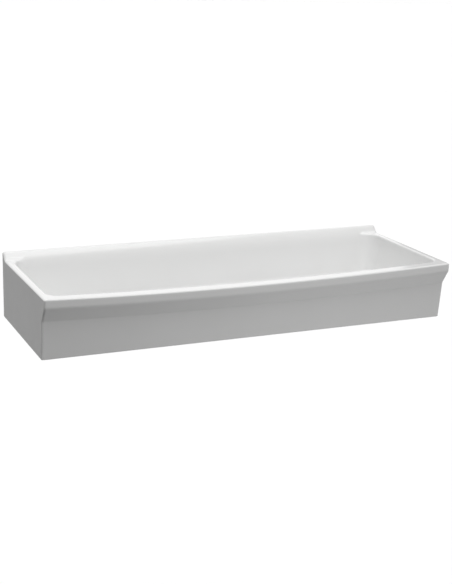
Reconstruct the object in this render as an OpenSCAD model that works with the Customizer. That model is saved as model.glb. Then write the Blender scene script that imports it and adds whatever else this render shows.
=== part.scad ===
// Wall-hung trough sink in glazed fireclay, with its waste outlet and wall fixings.
// Millimetres. +X along the trough, -Y towards the user, +Z up.
// The origin lies on the wall face, midway between the fixing bolts.

/* [Trough] */
// Length from end to end
trough_l = 1200; // [1000:10:1400]
// Depth from the wall to the front lip
trough_d = 430; // [410:1:470]
// Height of the side rims above the bottom edge
rim_h = 171; // [165:1:185]
// How far the front rim dips at mid-length
front_dip = 12; // [0:0.5:16]
// Width of the side rims
side_rim_w = 20; // [18:0.5:26]
// Width of the front rim
front_rim_w = 35; // [32:0.5:44]
// Radius of the rims' edges
edge_r = 5; // [3:0.5:6]
// Radius of the upright corners
arris_r = 6; // [4:0.5:8]

/* [Front lip] */
// How far the lip stands out from the apron
lip_out = 26; // [20:0.5:28]
// Height of the lip's upright face
lip_face_h = 19; // [16:0.5:26]
// Slope of the lip's underside from upright, in degrees
lip_slope = 33; // [28:1:40]
// Radius at the top of the slope
lip_top_r = 18; // [10:1:22]
// Radius at the foot of the slope
lip_foot_r = 12; // [8:1:16]
// How far the apron's bottom edge is set back
apron_lean = 9; // [4:0.5:12]

/* [Rear upstand] */
// Height of the upstand above the side rims
upstand_h = 19; // [19:0.5:40]
// Thickness of the upstand
upstand_t = 18; // [16:0.5:26]
// Radius along the upstand's top edge
upstand_top_r = 8; // [4:0.5:8]
// Radius of the sweep from the upstand down to the side rims
upstand_sweep_r = 10.5; // [6:0.5:10.5]

/* [Bowl] */
// Depth from the side rims to the edge of the floor
bowl_depth = 122; // [112:1:124]
// Fall of the floor to the waste
floor_fall = 7; // [4:0.5:9]
// Radius between the walls and the floor
cove_r = 45; // [35:1:50]
// Corner radius at the front of the mouth
front_corner_r = 28; // [20:1:40]
// Corner radius at the rear of the mouth
rear_corner_r = 50; // [35:1:60]
// Corner radius at the foot of the walls
foot_corner_r = 68; // [62:1:85]
// Slope of the end walls from upright, in degrees
end_slope = 13; // [10:0.5:16]
// Slope of the front wall from upright, in degrees
front_slope = 9; // [7:0.5:10]
// Slope of the rear wall from upright, in degrees
rear_slope = 27; // [26:0.5:30]
// Height over which the walls turn from upright to their slope
wall_bend = 40; // [30:1:42]

/* [Underside] */
// Thickness of the bowl's walls and floor
shell_t = 13; // [11:0.5:14]
// Thickness of the skirt
skirt_t = 13; // [11:0.5:15]
// Height of the hollow behind the skirt
hollow_h = 124; // [110:1:128]
// Radius of the hollow's corners
hollow_corner_r = 16; // [10:1:24]
// Thickness of the cross webs
web_t = 12; // [9:0.5:16]
// Distance between the cross webs
web_pitch = 600; // [500:10:680]
// How far the webs end above the bottom edge
web_rise = 6; // [3:1:9]

/* [Waste] */
// Distance from the wall to the waste
waste_back = 215; // [205:1:225]
// Radius of the waste's thread
waste_thread_r = 20.95; // [20:0.05:22]
// Radius of the bore
waste_bore_r = 17.5; // [16:0.1:17.8]
// Radius of the flange
flange_r = 31; // [29:0.5:33]
// Thickness of the flange at its edge
flange_t = 2.5; // [2:0.1:3]
// Thickness of the seal under the flange
flange_seal_t = 2; // [1.5:0.1:3]
// Thickness of the fireclay under the waste
waste_seat_t = 14; // [13:0.5:15]
// Radius of the boss under the floor
waste_boss_r = 42; // [38:1:50]
// Thickness of the rubber seal under the boss
under_seal_t = 5; // [4:0.5:6]
// Radius of the rubber seal under the boss
under_seal_r = 33; // [31:0.5:36]
// Thickness of the slip washer
slip_washer_t = 2; // [1.5:0.1:3]
// Thickness of the back nut
back_nut_t = 10; // [8:0.5:12]
// Width of the back nut across its flats
back_nut_af = 52; // [50:0.5:56]
// How far the tail reaches below the bottom edge
tail_below = 42; // [30:1:55]
// Thickness of the strainer
grid_t = 2; // [1.5:0.1:2.5]
// Radius of the strainer's holes
grid_hole_r = 2.2; // [1.8:0.1:2.4]
// Radius of the strainer's screw
grid_screw_r = 2.5; // [2:0.1:2.8]
// Length of the strainer's screw
grid_screw_l = 16; // [12:0.5:20]

/* [Wall fixings] */
// How far the bolts lie below the side rims
bolt_drop = 93; // [88:1:96]
// Distance between neighbouring bolts
bolt_pitch = 300; // [260:5:300]
// Radius of the bolts
bolt_r = 5; // [4:0.5:6]
// How far the bolts end behind the wall face
bolt_in_wall = 66; // [50:1:80]
// How far the bolts stand out past their nuts
bolt_past_nut = 6; // [3:0.5:8]
// Thickness of the sleeves' walls
sleeve_t = 2.6; // [2:0.1:3.5]
// Thickness of the sleeves' collars
collar_t = 3; // [2:0.5:4]
// Radius of the sleeves' collars
collar_r = 14; // [12:0.5:16]
// Thickness of the pads round the bolt holes
pad_t = 3; // [2:0.5:4]
// Thickness of the washers
washer_t = 2.5; // [1.5:0.5:3]
// Radius of the washers
washer_r = 13; // [11:0.5:15]
// Width of the nuts across their flats
nut_af = 17; // [16:0.5:19]
// Thickness of the nuts
nut_t = 8.4; // [7:0.1:9]
// Thickness of the wall plugs' walls
plug_t = 1.75; // [1.5:0.05:2.5]

/* [Hidden] */
$fn = 64;

fit_gap = 0.15;
hole_gap = 0.3;
overcut = 1;
nick = 0.01;
corner_steps = 6;
front_steps = 12;
edge_steps = 4;
cove_steps = 8;

half_l = trough_l / 2;
lip_y = -trough_d;
apron_top_y = lip_y + lip_out;
apron_bottom_y = apron_top_y + apron_lean;
bolt_h = rim_h - bolt_drop;

// The front rim's dip follows one large circle.
dip_r = front_dip > 0 ? (half_l * half_l + front_dip * front_dip) / (2 * front_dip) : 0;
function dip(x) =
    front_dip > 0 ? sqrt(dip_r * dip_r - min(x * x, half_l * half_l)) - dip_r + front_dip : 0;

// Closed outline of a rectangle with round corners, anticlockwise from the front left.
function corner(x, y, r, start) =
    [for (i = [0:corner_steps]) [x + r * cos(start + 90 * i / corner_steps),
                                 y + r * sin(start + 90 * i / corner_steps)]];

function outline(hx, y_front, y_rear, r_front, r_rear) = concat(
    corner(-hx + r_front, y_front + r_front, r_front, 180),
    [for (i = [1:front_steps - 1]) [(hx - r_front) * (2 * i / front_steps - 1), y_front]],
    corner(hx - r_front, y_front + r_front, r_front, 270),
    corner(hx - r_rear, y_rear - r_rear, r_rear, 0),
    [for (i = [1:front_steps - 1]) [(hx - r_rear) * (1 - 2 * i / front_steps), y_rear]],
    corner(-hx + r_rear, y_rear - r_rear, r_rear, 90)
);

// One level of a loft; "follow" is the share of the dip that its front half takes.
function level(points, z, follow = 0) =
    [for (p = points) [p[0], p[1], p[1] < -trough_d / 2 ? z - follow * dip(p[0]) : z]];

// Solid through a stack of levels, given from the lowest to the highest.
module loft(levels) {
    n = len(levels[0]);
    top = len(levels) - 1;
    points = [for (l = levels) each l];
    sides = [for (k = [0:top - 1], i = [0:n - 1])
        let (a = k * n + i, b = k * n + (i + 1) % n)
        each [[a, a + n, b + n], [a, b + n, b]]];
    floor_face = [[for (i = [0:n - 1]) i]];
    roof_face = [[for (i = [0:n - 1]) top * n + n - 1 - i]];
    polyhedron(points, concat(sides, floor_face, roof_face), convexity = 8);
}

// ---- Outer form ----

lip_drop_top = lip_top_r * sin(lip_slope);
lip_drop_foot = lip_foot_r * sin(lip_slope);
lip_run_top = lip_top_r * (1 - cos(lip_slope));
lip_run_foot = lip_foot_r * (1 - cos(lip_slope));
lip_run_straight = lip_out - lip_run_top - lip_run_foot;
lip_drop_straight = lip_run_straight / tan(lip_slope);
lip_h = lip_face_h + lip_drop_top + lip_drop_straight + lip_drop_foot;
bottom_edge_r = 3;
bottom_steps = 2;
rear_arris_r = 0.5;

// Side view of the front: [distance in from the lip, height, inset of the ends, share of the dip].
front_profile = concat(
    [for (i = [0:bottom_steps])
        let (a = 90 * i / bottom_steps, in = bottom_edge_r * (1 - sin(a)))
        [lip_out + apron_lean + in, bottom_edge_r * (1 - cos(a)), in, 0]],
    [for (i = [0:edge_steps])
        let (a = lip_slope * i / edge_steps)
        [lip_out - lip_foot_r * (1 - cos(a)), rim_h - lip_h + lip_foot_r * sin(a), 0, 1]],
    [for (i = [edge_steps:-1:0])
        let (a = lip_slope * i / edge_steps)
        [lip_top_r * (1 - cos(a)), rim_h - lip_face_h - lip_top_r * sin(a), 0, 1]],
    [for (i = [0:edge_steps])
        let (a = 90 * i / edge_steps)
        [edge_r * (1 - cos(a)), rim_h - edge_r * (1 - sin(a)), edge_r * (1 - cos(a)), 1]]
);

// The last two levels carry the flat of the rims into the space that the bowl takes away.
rim_overlap = 2;
roof_inset = 15;
roof_drop = 30;

module outer_form() {
    loft(concat(
        [for (p = front_profile)
            let (corner_r = max(rear_arris_r, arris_r - p[2]))
            level(outline(half_l - p[2], lip_y + p[0], 0, corner_r, rear_arris_r), p[1], p[3])],
        [level(mouth_outline(-rim_overlap), rim_h, 1),
         level(mouth_outline(-roof_inset), rim_h - roof_drop, 0)]
    ));
}

// ---- Bowl ----

upstand_foot = 0.5;
bowl_hx = half_l - side_rim_w;
bowl_front_y = lip_y + front_rim_w;
bowl_rear_y = -upstand_t - upstand_foot;
floor_z = rim_h - bowl_depth;
waste_floor_z = floor_z - floor_fall;
waste_y = -waste_back;
waste_land_w = 6;
waste_land_r = flange_r + waste_land_w;
cove_turn = 80;
mouth_turn = 76;
floor_shares = [1, 0.75, 0.4];
bend_shares = [0.25, 0.6];

// How far a wall has come in at a given depth below the side rims.
function wall_inset(depth, slope) =
    depth < wall_bend
        ? depth * depth * tan(slope) / (2 * wall_bend)
        : (depth - wall_bend / 2) * tan(slope);

// The same with the cove at its foot, at height z; "out" offsets the wall outwards.
function inset(z, slope, out) =
    let (r = cove_r + out,
         centre_z = floor_z + cove_r,
         tangent_z = centre_z - r * sin(slope),
         wall = function (h) wall_inset(rim_h - h, slope) - out / cos(slope),
         centre_in = wall(tangent_z) + r * cos(slope))
    z > tangent_z ? wall(z) : centre_in - sqrt(max(0, r * r - (centre_z - z) * (centre_z - z)));

// Corner radius of the bowl at height z.
function bowl_corner(r, z, out) =
    let (share = (rim_h - z) / bowl_depth) r + (foot_corner_r - r) * min(1, share) + out;

function bowl_outline(z, out) = outline(
    bowl_hx - inset(z, end_slope, out),
    bowl_front_y + inset(z, front_slope, out),
    bowl_rear_y - inset(z, rear_slope, out),
    bowl_corner(front_corner_r, z, out),
    bowl_corner(rear_corner_r, z, out)
);

// The floor runs from the foot of the cove to a round land at the waste.
function floor_outline(share) =
    let (edge = bowl_outline(floor_z, 0),
         waste = [0, waste_y])
    [for (p = edge)
        let (away = p - waste)
        waste + away * (1 - share) + away / norm(away) * waste_land_r * share];

module bowl() {
    mouth_z = rim_h - edge_r;
    loft(concat(
        [for (share = floor_shares)
            level(floor_outline(share), floor_z - floor_fall * share)],
        [for (i = [0:cove_steps])
            let (z = floor_z + cove_r * (1 - cos(cove_turn * i / cove_steps)))
            level(bowl_outline(z, 0), z)],
        [for (share = bend_shares)
            let (z = mouth_z - wall_bend * (1 - share))
            level(bowl_outline(z, 0), z, share)],
        [for (i = [0:edge_steps])
            let (a = mouth_turn * i / edge_steps, wide = edge_r * (1 - cos(a)))
            level(mouth_outline(wide), mouth_z + edge_r * sin(a), 1)],
        [level(mouth_outline(edge_r + overcut), rim_h + overcut, 1),
         level(mouth_outline(edge_r + overcut), rim_h + upstand_h + overcut, 0)]
    ));
}

// The mouth widens over the side and front rims, and stays upright at the rear.
function mouth_outline(wide) = outline(
    bowl_hx + wide,
    bowl_front_y - wide,
    bowl_rear_y + min(0, wide),
    front_corner_r + wide,
    rear_corner_r + min(0, wide)
);

// ---- Hollow underside ----

core_share = 0.2;
pad_margin = 3;

module bowl_from_below() {
    low_z = floor_z - shell_t;
    waste = [0, waste_y];
    core = [for (p = bowl_outline(low_z, shell_t)) waste + (p - waste) * core_share];
    loft(concat(
        [level(core, waste_floor_z - shell_t)],
        [for (i = [0:cove_steps])
            let (z = low_z + (cove_r + shell_t) * (1 - cos(cove_turn * i / cove_steps)))
            level(bowl_outline(z, shell_t), z)],
        [level(bowl_outline(rim_h, shell_t), rim_h)]
    ));
}

module hollow_block() {
    function block(z) = outline(
        half_l - skirt_t,
        apron_bottom_y - apron_lean * z / (rim_h - lip_h) + skirt_t,
        -skirt_t,
        hollow_corner_r,
        hollow_corner_r
    );
    loft([level(block(-overcut), -overcut), level(block(hollow_h), hollow_h)]);
}

module webs() {
    for (side = [-1, 1])
        translate([side * web_pitch / 2 - web_t / 2, lip_y, web_rise])
            cube([web_t, trough_d, hollow_h]);
}

module hollow() {
    difference() {
        hollow_block();
        bowl_from_below();
        webs();
        translate([0, waste_y, waste_under_z])
            cylinder(h = hollow_h, r = waste_boss_r);
        at_bolts()
            translate([0, 0, -overcut])
                cylinder(h = skirt_t + pad_t + overcut, r = collar_r + pad_margin);
    }
}

// ---- Rear upstand ----

// Side view as [distance from the wall, height]: a wall with a round top, swept down to the rims.
upstand_foot_z = rim_h - 2 * edge_r;
sweep_sink = 0.2;
upstand_side = concat(
    [[0, upstand_foot_z], [0, rim_h + upstand_h]],
    [for (i = [0:edge_steps])
        let (a = 90 * i / edge_steps)
        [upstand_t - upstand_top_r * (1 - sin(a)),
         rim_h + upstand_h - upstand_top_r * (1 - cos(a))]],
    [for (i = [0:edge_steps])
        let (a = 90 * i / edge_steps)
        [upstand_t + upstand_sweep_r * (1 - cos(a)),
         rim_h + upstand_sweep_r * (1 - sin(a)) - sweep_sink]],
    [[upstand_t + upstand_sweep_r, upstand_foot_z]]
);

module upstand() {
    straight_l = trough_l - 2 * upstand_t;
    rotate([90, 0, -90])
        linear_extrude(height = straight_l, center = true)
            polygon(upstand_side);
    for (end = [0, 1])
        mirror([end, 0, 0])
            upstand_end(straight_l / 2);
}

// The ends turn back to the wall in a quarter circle, cut off flush with the trough's end.
module upstand_end(x) {
    intersection() {
        translate([x, 0, 0])
            rotate(-90)
                rotate_extrude(angle = 90)
                    polygon(upstand_side);
        translate([x - overcut, lip_y, 0])
            cube([upstand_t + overcut, trough_d, 2 * rim_h]);
    }
}

// ---- Fireclay body ----

waste_hole_gap = 2;
flange_sink = 0.5;
seat_gap = 1;
waste_hole_r = waste_thread_r + waste_hole_gap;
seat_depth = flange_t + flange_seal_t + flange_sink;
seat_z = waste_floor_z - seat_depth;
waste_under_z = seat_z - waste_seat_t;
sleeve_r = bolt_r + fit_gap + sleeve_t;
bolt_hole_r = sleeve_r + hole_gap;

module at_base() {
    translate([0, 0, -bolt_h])
        children();
}

// Bolt places, with the local +Z pointing from the wall towards the user.
module at_bolts() {
    for (i = [-1.5:1:1.5])
        translate([i * bolt_pitch, 0, bolt_h])
            rotate([90, 0, 0])
                children();
}

module trough_body() {
    color("white")
        at_base()
            difference() {
                union() {
                    outer_form();
                    upstand();
                }
                bowl();
                hollow();
                translate([0, waste_y, seat_z])
                    cylinder(h = seat_depth + overcut, r = flange_r + seat_gap);
                translate([0, waste_y, waste_under_z - overcut])
                    cylinder(h = waste_seat_t + 2 * overcut, r = waste_hole_r);
                at_bolts()
                    translate([0, 0, -overcut])
                        cylinder(h = skirt_t + pad_t + 2 * overcut, r = bolt_hole_r);
            }
}

// ---- Waste outlet ----

flange_dish = 1;
ledge_w = 2;
flange_z = seat_z + flange_seal_t;
flange_top_z = flange_z + flange_t;
grid_r = waste_bore_r + ledge_w;
ledge_z = flange_top_z - grid_t - flange_dish;
bridge_h = 8;
bridge_w = 3;
bridge_drop = 4;
bridge_wall = 2.5;
bridge_sink = 0.5;
bridge_z = ledge_z - bridge_drop - bridge_h;
bridge_boss_r = grid_screw_r + bridge_wall;
under_seal_z = waste_under_z - under_seal_t;
slip_washer_z = under_seal_z - slip_washer_t;
back_nut_z = slip_washer_z - back_nut_t;

module at_waste(z) {
    at_base()
        translate([0, waste_y, z])
            children();
}

module ring(h, r_out, r_in) {
    difference() {
        cylinder(h = h, r = r_out);
        translate([0, 0, -overcut])
            cylinder(h = h + 2 * overcut, r = r_in);
    }
}

// One turned piece: threaded tail with a groove under the nut, dished flange and strainer ledge.
module waste_body() {
    chamfer = 1.5;
    groove_w = 1.5;
    groove_depth = 0.8;
    groove_z = back_nut_z - groove_w - 1;
    color("silver")
        at_waste(0) {
            rotate_extrude()
                polygon([
                    [waste_bore_r, -tail_below],
                    [waste_thread_r - chamfer, -tail_below],
                    [waste_thread_r, chamfer - tail_below],
                    [waste_thread_r, groove_z],
                    [waste_thread_r - groove_depth, groove_z],
                    [waste_thread_r - groove_depth, groove_z + groove_w],
                    [waste_thread_r, groove_z + groove_w],
                    [waste_thread_r, flange_z],
                    [flange_r, flange_z],
                    [flange_r, flange_z + flange_t / 2],
                    [flange_r - flange_t / 2, flange_top_z],
                    [flange_r - flange_t, flange_top_z],
                    [grid_r + fit_gap, flange_top_z - flange_dish],
                    [grid_r + fit_gap, ledge_z],
                    [waste_bore_r, ledge_z]
                ]);
            translate([0, 0, bridge_z])
                waste_bridge();
        }
}

// Cross bar inside the tube that takes the strainer's screw.
module waste_bridge() {
    difference() {
        union() {
            cylinder(h = bridge_h, r = bridge_boss_r);
            translate([-waste_bore_r - bridge_sink, -bridge_w / 2, 0])
                cube([2 * (waste_bore_r + bridge_sink), bridge_w, bridge_h]);
        }
        translate([0, 0, -overcut])
            cylinder(h = bridge_h + 2 * overcut, r = grid_screw_r + fit_gap);
    }
}

screw_head_r = 2 * grid_screw_r;
screw_head_h = grid_screw_r;

// Rings of holes as [how many, distance from the middle as a share of the radius].
hole_rings = [[6, 0.44], [12, 0.76]];

module strainer_grid() {
    color("silver")
        at_waste(ledge_z)
            difference() {
                cylinder(h = grid_t, r = grid_r);
                translate([0, 0, -overcut])
                    cylinder(h = grid_t + 2 * overcut, r = grid_screw_r + fit_gap);
                translate([0, 0, grid_t - screw_head_h])
                    cylinder(
                        h = screw_head_h + nick,
                        r1 = grid_screw_r + fit_gap,
                        r2 = screw_head_r + fit_gap
                    );
                for (ring_of = hole_rings, i = [1:ring_of[0]])
                    rotate(360 * i / ring_of[0])
                        translate([grid_r * ring_of[1], 0, -overcut])
                            cylinder(h = grid_t + 2 * overcut, r = grid_hole_r, $fn = 24);
            }
}

module grid_screw() {
    tip = 0.8;
    slot = 1;
    color("silver")
        at_waste(ledge_z + grid_t)
            rotate([180, 0, 0])
                difference() {
                    rotate_extrude()
                        polygon([
                            [0, 0],
                            [screw_head_r, 0],
                            [grid_screw_r, screw_head_h],
                            [grid_screw_r, grid_screw_l - tip],
                            [grid_screw_r - tip, grid_screw_l],
                            [0, grid_screw_l]
                        ]);
                    translate([-screw_head_r - overcut, -slot / 2, -nick])
                        cube([2 * (screw_head_r + overcut), slot, slot]);
                }
}

seal_inset = 1;
under_seal_chamfer = 1.5;

module flange_seal() {
    color("dimgray")
        at_waste(seat_z)
            ring(flange_seal_t, flange_r - seal_inset, waste_thread_r + hole_gap);
}

module under_seal() {
    color("dimgray")
        at_waste(under_seal_z)
            difference() {
                ring(under_seal_t, under_seal_r, waste_thread_r + fit_gap);
                ring_chamfer(under_seal_r, under_seal_chamfer);
            }
}

// Cuts the lower outer edge of a ring back at 45 degrees.
module ring_chamfer(r, size) {
    translate([0, 0, -nick])
        difference() {
            cylinder(h = size, r = r + overcut);
            cylinder(h = size, r1 = r - size, r2 = r);
        }
}

module slip_washer() {
    color("white")
        at_waste(slip_washer_z)
            ring(slip_washer_t, under_seal_r - seal_inset, waste_thread_r + fit_gap);
}

module waste_back_nut() {
    flange_h = 2.5;
    chamfer = 2;
    corner_r = back_nut_af / 2 / cos(30);
    color("gold")
        at_waste(back_nut_z)
            difference() {
                union() {
                    intersection() {
                        cylinder(h = back_nut_t - flange_h / 2, r = corner_r, $fn = 6);
                        cylinder(
                            h = back_nut_t,
                            r1 = corner_r - chamfer,
                            r2 = corner_r - chamfer + back_nut_t
                        );
                    }
                    translate([0, 0, back_nut_t - flange_h])
                        cylinder(h = flange_h, r = under_seal_r - 2 * seal_inset);
                }
                translate([0, 0, -overcut])
                    cylinder(h = back_nut_t + 2 * overcut, r = waste_thread_r + fit_gap);
            }
}

// ---- Wall fixings ----

collar_y = skirt_t + pad_t;
washer_y = collar_y + collar_t;
nut_y = washer_y + washer_t;
plug_r = bolt_r + fit_gap + plug_t;
plug_past_bolt = 4;
plug_end = bolt_in_wall + plug_past_bolt;
end_chamfer = 1;

module bolt_sleeves() {
    color("ivory")
        at_base()
            at_bolts()
                difference() {
                    union() {
                        cylinder(h = collar_y, r = sleeve_r);
                        translate([0, 0, collar_y])
                            cylinder(h = collar_t, r = collar_r);
                    }
                    translate([0, 0, -overcut])
                        cylinder(h = washer_y + 2 * overcut, r = bolt_r + fit_gap);
                }
}

module bolt_washers() {
    color("silver")
        at_base()
            at_bolts()
                translate([0, 0, washer_y])
                    ring(washer_t, washer_r, bolt_r + hole_gap);
}

module bolt_nuts() {
    corner_r = nut_af / 2 / cos(30);
    color("silver")
        at_base()
            at_bolts()
                translate([0, 0, nut_y])
                    difference() {
                        intersection() {
                            cylinder(h = nut_t, r = corner_r, $fn = 6);
                            cylinder(
                                h = nut_t,
                                r1 = corner_r - end_chamfer + nut_t,
                                r2 = corner_r - end_chamfer
                            );
                        }
                        translate([0, 0, -overcut])
                            cylinder(h = nut_t + 2 * overcut, r = bolt_r + fit_gap);
                    }
}

// Machine thread towards the user, wood screw with a pointed tip in the wall.
module hanger_bolts() {
    end_y = nut_y + nut_t + bolt_past_nut;
    tip_l = 2 * bolt_r;
    color("silver")
        at_base()
            at_bolts()
                rotate_extrude()
                    polygon([
                        [0, -bolt_in_wall],
                        [bolt_r, tip_l - bolt_in_wall],
                        [bolt_r, end_y - end_chamfer],
                        [bolt_r - end_chamfer, end_y],
                        [0, end_y]
                    ]);
}

// Nylon plugs in the wall, split over their inner half.
module wall_plugs() {
    slit = 1.6;
    color("gainsboro")
        at_base()
            at_bolts()
                difference() {
                    translate([0, 0, -plug_end])
                        cylinder(h = plug_end, r = plug_r);
                    translate([0, 0, -bolt_in_wall - fit_gap])
                        cylinder(h = bolt_in_wall + fit_gap + overcut, r = bolt_r + fit_gap);
                    translate([-plug_r - overcut, -slit / 2, -plug_end - overcut])
                        cube([2 * (plug_r + overcut), slit, plug_end / 2]);
                }
}

trough_body();
waste_body();
strainer_grid();
grid_screw();
flange_seal();
under_seal();
slip_washer();
waste_back_nut();
wall_plugs();
hanger_bolts();
bolt_sleeves();
bolt_washers();
bolt_nuts();
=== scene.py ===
"""Looks of a wall-hung fireclay trough sink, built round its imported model.

Lengths are millimetres while a form is being made, and metres in the finished piece.
Heights count from the trough's bottom edge until the piece is finished.
"""

from math import asin, cos, degrees, hypot, pi, radians, sin, sqrt, tan, tau

import bmesh
import bpy
from mathutils import Matrix, Vector


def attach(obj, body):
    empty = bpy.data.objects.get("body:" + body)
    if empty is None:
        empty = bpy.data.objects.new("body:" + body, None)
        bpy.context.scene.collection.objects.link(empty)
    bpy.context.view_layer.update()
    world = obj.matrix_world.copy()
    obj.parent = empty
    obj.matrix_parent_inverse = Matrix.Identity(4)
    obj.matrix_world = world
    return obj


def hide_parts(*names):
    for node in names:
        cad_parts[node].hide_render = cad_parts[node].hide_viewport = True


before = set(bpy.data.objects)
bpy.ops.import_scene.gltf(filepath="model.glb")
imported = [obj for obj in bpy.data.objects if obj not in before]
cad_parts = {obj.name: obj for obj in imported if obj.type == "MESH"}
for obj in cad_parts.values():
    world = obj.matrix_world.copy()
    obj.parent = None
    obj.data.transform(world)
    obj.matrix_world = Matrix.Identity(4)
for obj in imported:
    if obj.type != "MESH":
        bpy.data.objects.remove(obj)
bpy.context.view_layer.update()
scene = bpy.context.scene

# The trough
HALF_L, DEPTH, RIM, DIP = 600.0, 430.0, 171.0, 12.0
SIDE_RIM, FRONT_RIM, EDGE_R, END_R, ARRIS_R = 20.0, 35.0, 5.0, 8.0, 6.0
LIP_OUT, LIP_FACE, LIP_SLOPE = 26.0, 19.0, radians(33)
LIP_TOP_R, LIP_FOOT_R, APRON_LEAN, BOTTOM_R = 18.0, 12.0, 9.0, 3.0
UPSTAND_H, CREST_FLAT, CREST_R, SHOULDER = 19.0, 2.0, 8.5, radians(45)
ROLL_FOOT, SWEEP_R, REAR_ARRIS_R = 150.0, 20.0, 0.5
FLOOR_Z, FLOOR_FALL, COVE_R = 49.0, 7.0, 24.0
FRONT_CORNER, REAR_CORNER, FOOT_CORNER = 28.0, 50.0, 40.0
END_SLOPE, FRONT_SLOPE, REAR_SLOPE, WALL_BEND = radians(13), radians(9), radians(20), 40.0
SHELL_T, SKIRT_T, HOLLOW_H, HOLLOW_R, SKIRT_EDGE_R = 13.0, 13.0, 124.0, 16.0, 4.0
WEB_T, WEB_X, WEB_RISE, WEB_EDGE_R = 12.0, 300.0, 6.0, 4.0

# The waste outlet, stacked up and down from the fireclay that it clamps
WASTE_Y, SEAT_Z, SEAT_T, BOSS_R, WASTE_HOLE_R = -215.0, 37.0, 14.0, 42.0, 22.95
BORE_R, TAIL_R, THREAD_R, THREAD_PITCH, TAIL_BELOW = 17.5, 19.7, 20.95, 2.309, 42.0
FLANGE_R, FLANGE_T, FLANGE_SEAL_T = 31.0, 2.5, 2.0
UNDER_SEAL_R, UNDER_SEAL_T, SLIP_R, SLIP_T = 33.0, 5.0, 32.0, 2.0
TAIL_NUT_AF, TAIL_NUT_T = 52.0, 10.0
GRID_R, GRID_T, GRID_HOLE_R, GRID_SUNK = 19.5, 2.0, 2.2, 1.0
SCREW_R, SCREW_ROOT, SCREW_L, SCREW_HEAD_R, SCREW_PITCH = 2.5, 2.1, 16.0, 4.9, 0.8
BAR_L, BAR_T, BAR_H, BAR_Z, HUB_R = 36.0, 3.0, 8.0, 30.5, 5.0
FLANGE_Z = SEAT_Z + FLANGE_SEAL_T
FLANGE_TOP = FLANGE_Z + FLANGE_T
GRID_TOP = FLANGE_TOP - GRID_SUNK
LEDGE_Z = GRID_TOP - GRID_T
UNDER_Z = SEAT_Z - SEAT_T
SLIP_TOP = UNDER_Z - UNDER_SEAL_T
NUT_TOP = SLIP_TOP - SLIP_T
NUT_FOOT = NUT_TOP - TAIL_NUT_T

# The wall fixings, whose faces count outwards from the wall
BOLT_XS, BOLT_Z, BOLT_R, BOLT_IN_WALL = (-450.0, -150.0, 150.0, 450.0), 78.0, 5.0, 66.0
MACHINE_ROOT, MACHINE_PITCH, WOOD_ROOT, WOOD_PITCH = 4.35, 1.5, 3.6, 4.5
PAD_R, PAD_T, PAST_NUT = 17.0, 3.0, 6.0
SLEEVE_BORE, SLEEVE_R, SLEEVE_GAP, COLLAR_R, COLLAR_T = 5.2, 7.75, 0.3, 14.0, 3.0
WASHER_R, WASHER_T, NUT_AF, NUT_T = 13.0, 2.5, 17.0, 8.4
PLUG_BORE, PLUG_R, PLUG_L, BARBS, BARB_PITCH = 5.2, 6.9, 70.0, 9, 6.4
PAD_FACE = SKIRT_T + PAD_T
COLLAR_FACE = PAD_FACE + COLLAR_T
WASHER_FACE = COLLAR_FACE + WASHER_T
NUT_FACE = WASHER_FACE + NUT_T
BOLT_END = NUT_FACE + PAST_NUT

BASE = -BOLT_Z  # the bottom edge in the frame, whose origin is level with the bolts
BARE, THIN = 1, 2  # material slots of the trough's ground and thinly glazed faces, after its full glaze


# ---------------------------------------------------------------- camera

CAMERA_AT = (-1.3431, -3.142, 0.9272)
YAW, PITCH, BANK = radians(24.51), radians(16.05), radians(1.825)
LENS, SENSOR = 72.2, 36.0


def photo_camera():
    """Stands where the photograph was taken from, turned as it was."""
    ahead = Vector((sin(YAW) * cos(PITCH), cos(YAW) * cos(PITCH), -sin(PITCH)))
    right = Vector((cos(YAW), -sin(YAW), 0))
    up = right.cross(ahead)
    across = right * cos(BANK) + up * sin(BANK)
    above = up * cos(BANK) - right * sin(BANK)
    lens = bpy.data.cameras.new("photo_camera")
    lens.sensor_width, lens.lens = SENSOR, LENS
    lens.clip_start, lens.clip_end = 0.05, 200.0
    camera = bpy.data.objects.new("photo_camera", lens)
    turned_to = Matrix((across, above, -ahead)).transposed().to_4x4()
    camera.matrix_world = Matrix.Translation(CAMERA_AT) @ turned_to
    scene.collection.objects.link(camera)
    scene.camera = camera


# ---------------------------------------------------------------- forms

def closed_ring(bm, points):
    """A closed line of edges through the points."""
    corners = [bm.verts.new(p) for p in points]
    return [bm.edges.new(pair) for pair in zip(corners, corners[1:] + corners[:1])]


def lofted(levels):
    """Solid skinned over a stack of rings, closed flat at both ends."""
    bm = bmesh.new()
    rings = [closed_ring(bm, points) for points in levels]
    for lower, upper in zip(rings, rings[1:]):
        bmesh.ops.bridge_loops(bm, edges=lower + upper)
    bmesh.ops.contextual_create(bm, geom=rings[0])
    bmesh.ops.contextual_create(bm, geom=rings[-1])
    bmesh.ops.recalc_face_normals(bm, faces=bm.faces)
    return bm


def turned(profile, steps=96):
    """Solid turned from a closed profile of (radius, height) points."""
    bm = bmesh.new()
    edges = closed_ring(bm, [(r, 0, z) for r, z in profile])
    bmesh.ops.spin(
        bm, geom=edges, axis=(0, 0, 1), cent=(0, 0, 0), angle=tau, steps=steps, use_merge=True
    )
    bmesh.ops.remove_doubles(bm, verts=bm.verts, dist=0.001)
    bmesh.ops.dissolve_degenerate(bm, edges=bm.edges, dist=0.0005)
    bmesh.ops.recalc_face_normals(bm, faces=bm.faces)
    return bm


def block(centre, size):
    """Rectangular form, set by its middle."""
    bm = bmesh.new()
    bmesh.ops.create_cube(bm, size=1, matrix=Matrix.Translation(centre) @ Matrix.Diagonal((*size, 1)))
    return bm


def rounded(bm, edges, width, steps):
    """Rounds some of a form's edges."""
    bmesh.ops.bevel(
        bm, geom=edges, offset=width, offset_type="OFFSET", affect="EDGES", segments=steps,
        profile=0.5, material=-1,
    )
    return bm


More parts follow.
